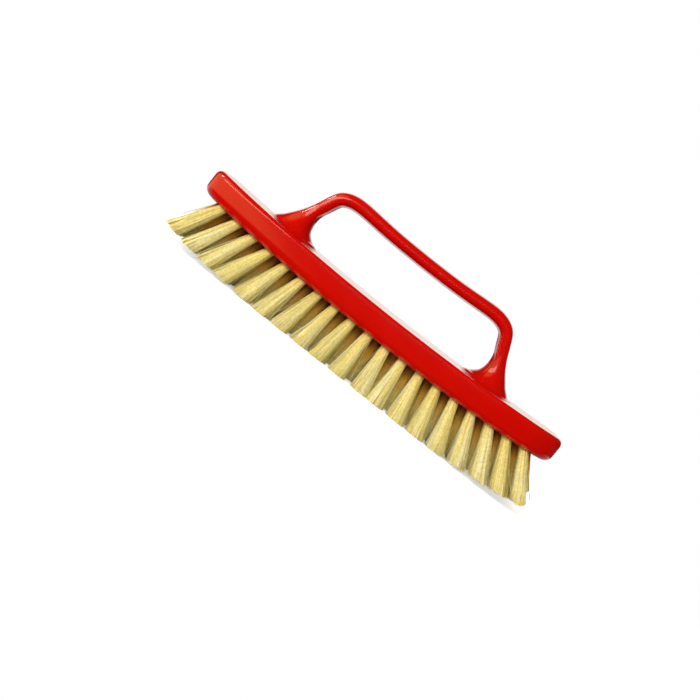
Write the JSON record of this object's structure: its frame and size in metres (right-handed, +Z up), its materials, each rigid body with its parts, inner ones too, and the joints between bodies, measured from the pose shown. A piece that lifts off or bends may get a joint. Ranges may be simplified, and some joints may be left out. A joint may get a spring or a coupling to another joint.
{
  "type": "handled shoe brush",
  "caption": "Long handled shoe brush: a one-piece moulded block with a bridge handle over it, and stiff straw-coloured tufts that fan out from its underside.",
  "frame": {"origin": "middle of the footprint of the whole brush, on the surface that its trimmed tips stand on", "axes": "+X along the brush's length, +Z up from the tips to the handle, +Y across the block; the brush is symmetric about its middle both ways"},
  "size_m": [0.2098, 0.0712, 0.0685],
  "materials": {
    "red_plastic": "glossy injection-moulded red plastic",
    "straw_fibre": "stiff straw-coloured natural fibre, cut square at the tips",
    "anchor_steel": "flat drawn wire"
  },
  "bodies": {
    "root": {"handle_block": "red_plastic", "tuft_row_01": "straw_fibre", "tuft_row_02": "straw_fibre", "tuft_row_03": "straw_fibre", "tuft_row_04": "straw_fibre", "tuft_row_05": "straw_fibre", "tuft_row_06": "straw_fibre", "tuft_row_07": "straw_fibre", "tuft_row_08": "straw_fibre", "tuft_row_09": "straw_fibre", "tuft_row_10": "straw_fibre", "tuft_row_11": "straw_fibre", "tuft_row_12": "straw_fibre", "tuft_row_13": "straw_fibre", "tuft_row_14": "straw_fibre", "tuft_row_15": "straw_fibre", "tuft_row_16": "straw_fibre", "tuft_row_17": "straw_fibre", "tuft_row_18": "straw_fibre", "tuft_row_19": "straw_fibre", "anchor_wire_front_outer": "anchor_steel", "anchor_wire_front_inner": "anchor_steel", "anchor_wire_centre": "anchor_steel", "anchor_wire_rear_inner": "anchor_steel", "anchor_wire_rear_outer": "anchor_steel"}
  },
  "joints": []
}
